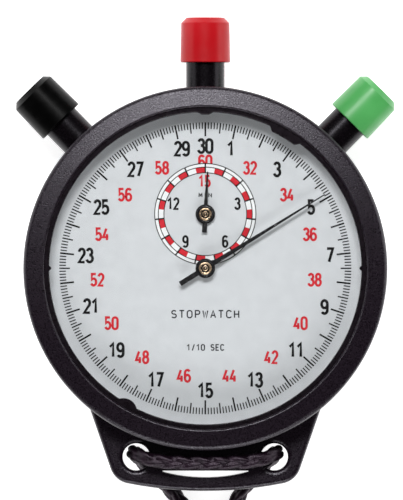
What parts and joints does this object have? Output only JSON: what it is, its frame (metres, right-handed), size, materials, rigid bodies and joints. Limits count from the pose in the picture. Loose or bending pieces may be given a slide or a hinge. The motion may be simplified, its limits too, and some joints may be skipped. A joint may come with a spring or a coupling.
{
  "type": "mechanical stopwatch",
  "caption": "Round black mechanical stopwatch with coloured push buttons, thirty-second dial, minute sub-dial, winding crown, full movement and braided neck cord.",
  "frame": {"origin": "on the back face, on the axis of the seconds hand; the watch lies on its back", "axes": "+Z out of the dial, +Y towards twelve o'clock and the red button, +X towards three o'clock"},
  "size_m": [0.0678, 0.1539, 0.017],
  "materials": {
    "case_plastic": "fine grained moulding",
    "start_green": "polished",
    "stop_red": "polished",
    "reset_black": "polished",
    "crystal_clear": "clear",
    "dial_white": "satin printed",
    "hand_black": "satin",
    "gilt_brass": "brushed",
    "movement_steel": "brushed",
    "jewel_red": "polished",
    "gasket_rubber": "matte",
    "ring_plastic": "moulded",
    "cord_weave": "braided",
    "tie_black": "matte",
    "joiner_metal": "crimped"
  },
  "bodies": {
    "root": {"case_shell": "case_plastic", "back_cover": "case_plastic", "back_cover_screws": "movement_steel", "cover_gasket": "gasket_rubber", "crystal": "crystal_clear", "dial": "dial_white", "movement_ring": "ring_plastic", "mainplate": "gilt_brass", "barrel_bridge": "gilt_brass", "train_bridge": "gilt_brass", "balance_cock": "gilt_brass", "pallet_bridge": "gilt_brass", "bridge_screws": "movement_steel", "jewel_bearings": "jewel_red", "lever_posts": "movement_steel", "click_spring": "movement_steel", "start_neck": "case_plastic", "stop_neck": "case_plastic", "reset_neck": "case_plastic", "start_spring": "movement_steel", "stop_spring": "movement_steel", "reset_spring": "movement_steel", "hairspring": "movement_steel", "lanyard_cord": "cord_weave", "lanyard_joiner": "joiner_metal", "lanyard_hank": "cord_weave", "lanyard_tie": "tie_black"},
    "seconds": {"seconds_hand": "hand_black", "seconds_hand_bush": "gilt_brass", "seconds_arbor": "movement_steel", "fourth_wheel": "gilt_brass", "seconds_heart_cam": "movement_steel"},
    "minutes": {"minute_hand": "hand_black", "minute_hand_bush": "gilt_brass", "minute_wheel": "gilt_brass", "minute_heart_cam": "movement_steel"},
    "third": {"third_wheel": "gilt_brass"},
    "barrel": {"barrel_drum": "gilt_brass", "barrel_cover": "gilt_brass", "mainspring": "movement_steel"},
    "escape": {"escape_wheel": "movement_steel"},
    "pallet": {"pallet_fork": "movement_steel"},
    "balance": {"balance_wheel": "movement_steel", "balance_staff": "movement_steel"},
    "start_button": {"start_cap": "start_green", "start_stem": "movement_steel"},
    "reset_button": {"reset_cap": "reset_black", "reset_stem": "movement_steel"},
    "stop_slide": {"crown_washer": "movement_steel"},
    "crown": {"stop_cap": "stop_red", "stop_stem": "movement_steel"},
    "winding_pinion": {"winding_pinion": "movement_steel"},
    "crown_wheel": {"crown_wheel": "movement_steel"},
    "ratchet": {"ratchet_wheel": "movement_steel", "barrel_arbor": "movement_steel"},
    "click": {"click": "movement_steel"},
    "start_lever": {"start_lever": "movement_steel"},
    "reset_lever": {"reset_lever": "movement_steel"},
    "brake_lever": {"brake_lever": "movement_steel"},
    "hammer": {"hammer": "movement_steel"}
  },
  "joints": [
    {"name": "seconds_turn", "type": "hinge", "parent": "root", "child": "seconds", "pos_m": [0, 0, 0.006], "axis": [0, 0, -1], "continuous": true},
    {"name": "minutes_turn", "type": "hinge", "parent": "root", "child": "minutes", "pos_m": [0, 0.00968, 0.006], "axis": [0, 0, -1], "continuous": true},
    {"name": "third_turn", "type": "hinge", "parent": "root", "child": "third", "pos_m": [-0.00528, 0.00316, 0.006], "axis": [0, 0, -1], "continuous": true},
    {"name": "barrel_turn", "type": "hinge", "parent": "root", "child": "barrel", "pos_m": [-0.01011, 0.01006, 0.006], "axis": [0, 0, -1], "continuous": true},
    {"name": "escape_turn", "type": "hinge", "parent": "root", "child": "escape", "pos_m": [0.0046, -0.00265, 0.006], "axis": [0, 0, -1], "continuous": true},
    {"name": "pallet_rock", "type": "hinge", "parent": "root", "child": "pallet", "pos_m": [0.00756, -0.00618, 0.006], "axis": [0, 0, -1], "range_deg": [-5.5, 5.5]},
    {"name": "balance_swing", "type": "hinge", "parent": "root", "child": "balance", "pos_m": [0.01161, -0.011, 0.006], "axis": [0, 0, -1], "range_deg": [-150.07, 150.07], "stiffness_Nm_per_rad": 0.0000001, "deforming": ["hairspring"]},
    {"name": "start_press", "type": "slide", "parent": "root", "child": "start_button", "axis": [-0.7009, -0.7133, 0], "range_m": [0, 0.0018], "stiffness_N_per_m": 400, "springref_m": -0.001, "deforming": ["start_spring"]},
    {"name": "reset_press", "type": "slide", "parent": "root", "child": "reset_button", "axis": [0.7009, -0.7133, 0], "range_m": [0, 0.0018], "stiffness_N_per_m": 400, "springref_m": -0.001, "deforming": ["reset_spring"]},
    {"name": "stop_press", "type": "slide", "parent": "root", "child": "stop_slide", "axis": [0, -1, 0], "range_m": [0, 0.0018], "stiffness_N_per_m": 500, "springref_m": -0.001, "deforming": ["stop_spring"]},
    {"name": "crown_turn", "type": "hinge", "parent": "stop_slide", "child": "crown", "pos_m": [0, 0.04, 0.008], "axis": [0, 1, 0], "continuous": true},
    {"name": "pinion_turn", "type": "hinge", "parent": "root", "child": "winding_pinion", "pos_m": [0, 0.02265, 0.008], "axis": [0, 1, 0], "continuous": true},
    {"name": "crown_wheel_turn", "type": "hinge", "parent": "root", "child": "crown_wheel", "pos_m": [0, 0.01869, 0.004], "axis": [0, 0, 1], "continuous": true},
    {"name": "ratchet_turn", "type": "hinge", "parent": "root", "child": "ratchet", "pos_m": [-0.01011, 0.01006, 0.004], "axis": [0, 0, 1], "continuous": true},
    {"name": "click_lift", "type": "hinge", "parent": "root", "child": "click", "pos_m": [-0.0186, -0.0022, 0.00245], "axis": [0, 0, 1], "range_deg": [-6, 0], "stiffness_Nm_per_rad": 0.0001, "springref_deg": 2.86},
    {"name": "start_lever_turn", "type": "hinge", "parent": "root", "child": "start_lever", "pos_m": [0.023, 0.003, 0.0018], "axis": [0, 0, 1], "range_deg": [0, 7.57]},
    {"name": "reset_lever_turn", "type": "hinge", "parent": "root", "child": "reset_lever", "pos_m": [-0.023, 0.003, 0.0018], "axis": [0, 0, -1], "range_deg": [0, 7.57]},
    {"name": "brake_turn", "type": "hinge", "parent": "root", "child": "brake_lever", "pos_m": [0.016, 0.012, 0.0083], "axis": [0, 0, 1], "range_deg": [0, 6.56]},
    {"name": "hammer_turn", "type": "hinge", "parent": "root", "child": "hammer", "pos_m": [0.0056, -0.009, 0.0018], "axis": [0, 0, 1], "range_deg": [0, 3.44]}
  ],
  "couplings": [
    {"joint": "minutes_turn", "follows": "seconds_turn", "ratio": 0.033333},
    {"joint": "third_turn", "follows": "seconds_turn", "ratio": -0.125},
    {"joint": "barrel_turn", "follows": "seconds_turn", "ratio": 0.013889},
    {"joint": "escape_turn", "follows": "seconds_turn", "ratio": -10},
    {"joint": "pinion_turn", "follows": "crown_turn", "ratio": 1},
    {"joint": "crown_wheel_turn", "follows": "crown_turn", "ratio": 0.33333},
    {"joint": "ratchet_turn", "follows": "crown_turn", "ratio": -0.20202},
    {"joint": "start_lever_turn", "follows": "start_press", "rad_per_m": 73.333},
    {"joint": "reset_lever_turn", "follows": "reset_press", "rad_per_m": 73.333},
    {"joint": "hammer_turn", "follows": "reset_press", "rad_per_m": 33.333},
    {"joint": "brake_turn", "follows": "stop_press", "rad_per_m": 63.611}
  ]
}
